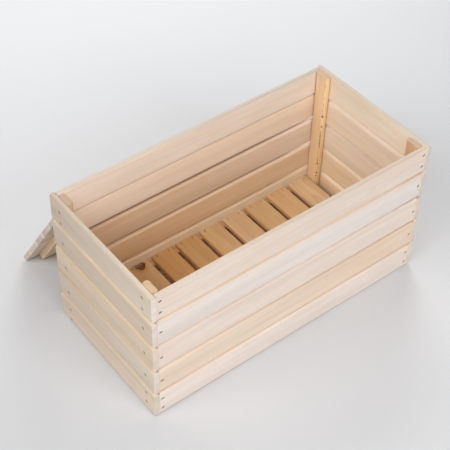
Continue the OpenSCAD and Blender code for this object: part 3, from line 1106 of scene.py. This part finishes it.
def toward(azimuth, elevation):
    """The direction from the crate to someone standing at that azimuth and elevation."""
    a, e = math.radians(azimuth), math.radians(elevation)
    return Vector((math.sin(a) * math.cos(e), -math.cos(a) * math.cos(e), math.sin(e)))


def build_camera():
    data = bpy.data.cameras.new("camera")
    data.lens = LENS
    data.sensor_width = SENSOR
    camera = new_object("camera", data)
    camera.location = VIEW_TARGET + toward(VIEW_AZIMUTH, VIEW_ELEVATION) * VIEW_DISTANCE
    aim(camera, VIEW_TARGET, VIEW_ROLL)
    bpy.context.scene.camera = camera


# Softboxes as (name, azimuth and elevation they shine from, power in watts)
SOFTBOXES = [
    ("front_box", 2, 32, 56),
    ("left_box", 272, 45, 50),
    ("camera_box", 315, 48, 24),
    ("back_right_box", 138, 30, 60),
    ("back_box", 180, 30, 20),
]
BOX_SIZE = 2.0
BOX_DISTANCE = 3.2
BOX_AIM = MIDDLE + Z * 0.2

# Even light from all round, and the backdrop's tone
FILL_LIGHT = 0.04
BACKDROP = rgb(0.74, 0.745, 0.755)

# The paper on the ground: its two tones, its brown under the crate, painted for the shade and the wood's
# bounced light there, and how softly that ends
PAPER = rgb(0.67, 0.675, 0.69)
PAPER_CLOUD = rgb(0.685, 0.69, 0.705)
UNDER_CRATE_SHADE = rgb(0.92, 0.52, 0.31)
SHADE_BLUR = 0.03
PAPER_HALF = 12.0
PAPER_DROP = 0.3 * MM

# Distances from the crate over which the paper fades into the backdrop
FADE_START = 1.1
FADE_END = 2.6


def softbox(name, azimuth, elevation, power):
    data = bpy.data.lights.new(name, "AREA")
    data.shape = "DISK"
    data.size = BOX_SIZE
    data.energy = power
    light = new_object(name, data)
    light.location = BOX_AIM + toward(azimuth, elevation) * BOX_DISTANCE
    aim(light, BOX_AIM)


def painted_light_on_paper(g, place):
    """Painted light and shade on the paper toward the left: darker near the camera and lighter far from it.
    """
    far = g.vector("DOT_PRODUCT", place, toward(VIEW_AZIMUTH + 180, 0))
    left = g.vector("DOT_PRODUCT", place, toward(VIEW_AZIMUTH - 90, 0))
    slope = g.range(far, -0.35, 0.3, -0.22, 0.13)
    level = g.math("MULTIPLY_ADD", g.math("MAXIMUM", left, 0.0), slope, 1.0)
    return g.range(level, 0.8, 1.12, 0.8, 1.12, "LINEAR")


def under_crate(g, place):
    """1 well inside the floor's outline, falling to 0 at its edge."""
    half = (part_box("floor_slat_10")[1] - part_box("floor_slat_1")[0]) / 2
    x, y = g.split(place)[:2]
    sides = [g.range(g.math("ABSOLUTE", way), edge - SHADE_BLUR, edge, 1.0, 0.0)
             for way, edge in ((x, half.x), (y, half.y))]
    return g.math("MULTIPLY", *sides)


def paper_tone(g, place):
    """The paper's tone, with painted light and shade, and painted brown under the crate for the shade and the
    wood's bounced light there.
    """
    cloud = g.range(g.noise(place, scale=0.6, detail=1.0), 0.3, 0.7)
    tone = g.mix(1.0, g.mix(cloud, PAPER, PAPER_CLOUD), painted_light_on_paper(g, place), "MULTIPLY")
    return g.mix(under_crate(g, place), tone, UNDER_CRATE_SHADE)


def far_glow(g, place):
    """How far the camera sees the paper fade into an even backdrop."""
    fade = g.range(g.vector("LENGTH", place), FADE_START, FADE_END)
    return g.math("MULTIPLY", fade, g.node("ShaderNodeLightPath").outputs["Is Camera Ray"])


def paper_material():
    """Matt paper that, far off, shows the camera the backdrop's tone instead."""
    material = bpy.data.materials.new("studio_floor")
    material.use_nodes = True
    material.cycles.emission_sampling = "NONE"
    g = Graph(material.node_tree)
    shader = material.node_tree.nodes["Principled BSDF"]
    place = g.node("ShaderNodeTexCoord").outputs["Object"]
    g.feed(shader.inputs["Base Color"], paper_tone(g, place))
    shader.inputs["Roughness"].default_value = 0.9
    glow = g.node("ShaderNodeEmission")
    glow.inputs["Color"].default_value = BACKDROP
    both = g.node("ShaderNodeMixShader")
    for socket, value in zip(both.inputs, (far_glow(g, place), shader.outputs[0], glow.outputs[0])):
        g.feed(socket, value)
    g.feed(material.node_tree.nodes["Material Output"].inputs["Surface"], both.outputs[0])
    return material


def build_floor():
    corners = [(x * PAPER_HALF, y * PAPER_HALF, 0) for x, y in ((-1, -1), (1, -1), (1, 1), (-1, 1))]
    mesh = mesh_from("studio_floor", [(corners, [(0, 1, 2, 3)])])
    floor = new_object("studio_floor", mesh)
    floor.location = MIDDLE - Z * PAPER_DROP
    mesh.materials.append(paper_material())


def build_studio():
    world = bpy.data.worlds.new("studio")
    world.use_nodes = True
    g = Graph(world.node_tree)
    seen = g.node("ShaderNodeLightPath").outputs["Is Camera Ray"]
    background = world.node_tree.nodes["Background"]
    g.feed(background.inputs["Color"], g.mix(seen, rgb(FILL_LIGHT, FILL_LIGHT, FILL_LIGHT), BACKDROP))
    bpy.context.scene.world = world
    for name, azimuth, elevation, power in SOFTBOXES:
        softbox(name, azimuth, elevation, power)
    build_floor()


bpy.context.scene.view_settings.view_transform = "Standard"
build_boards()
build_staples()
build_studio()
build_camera()
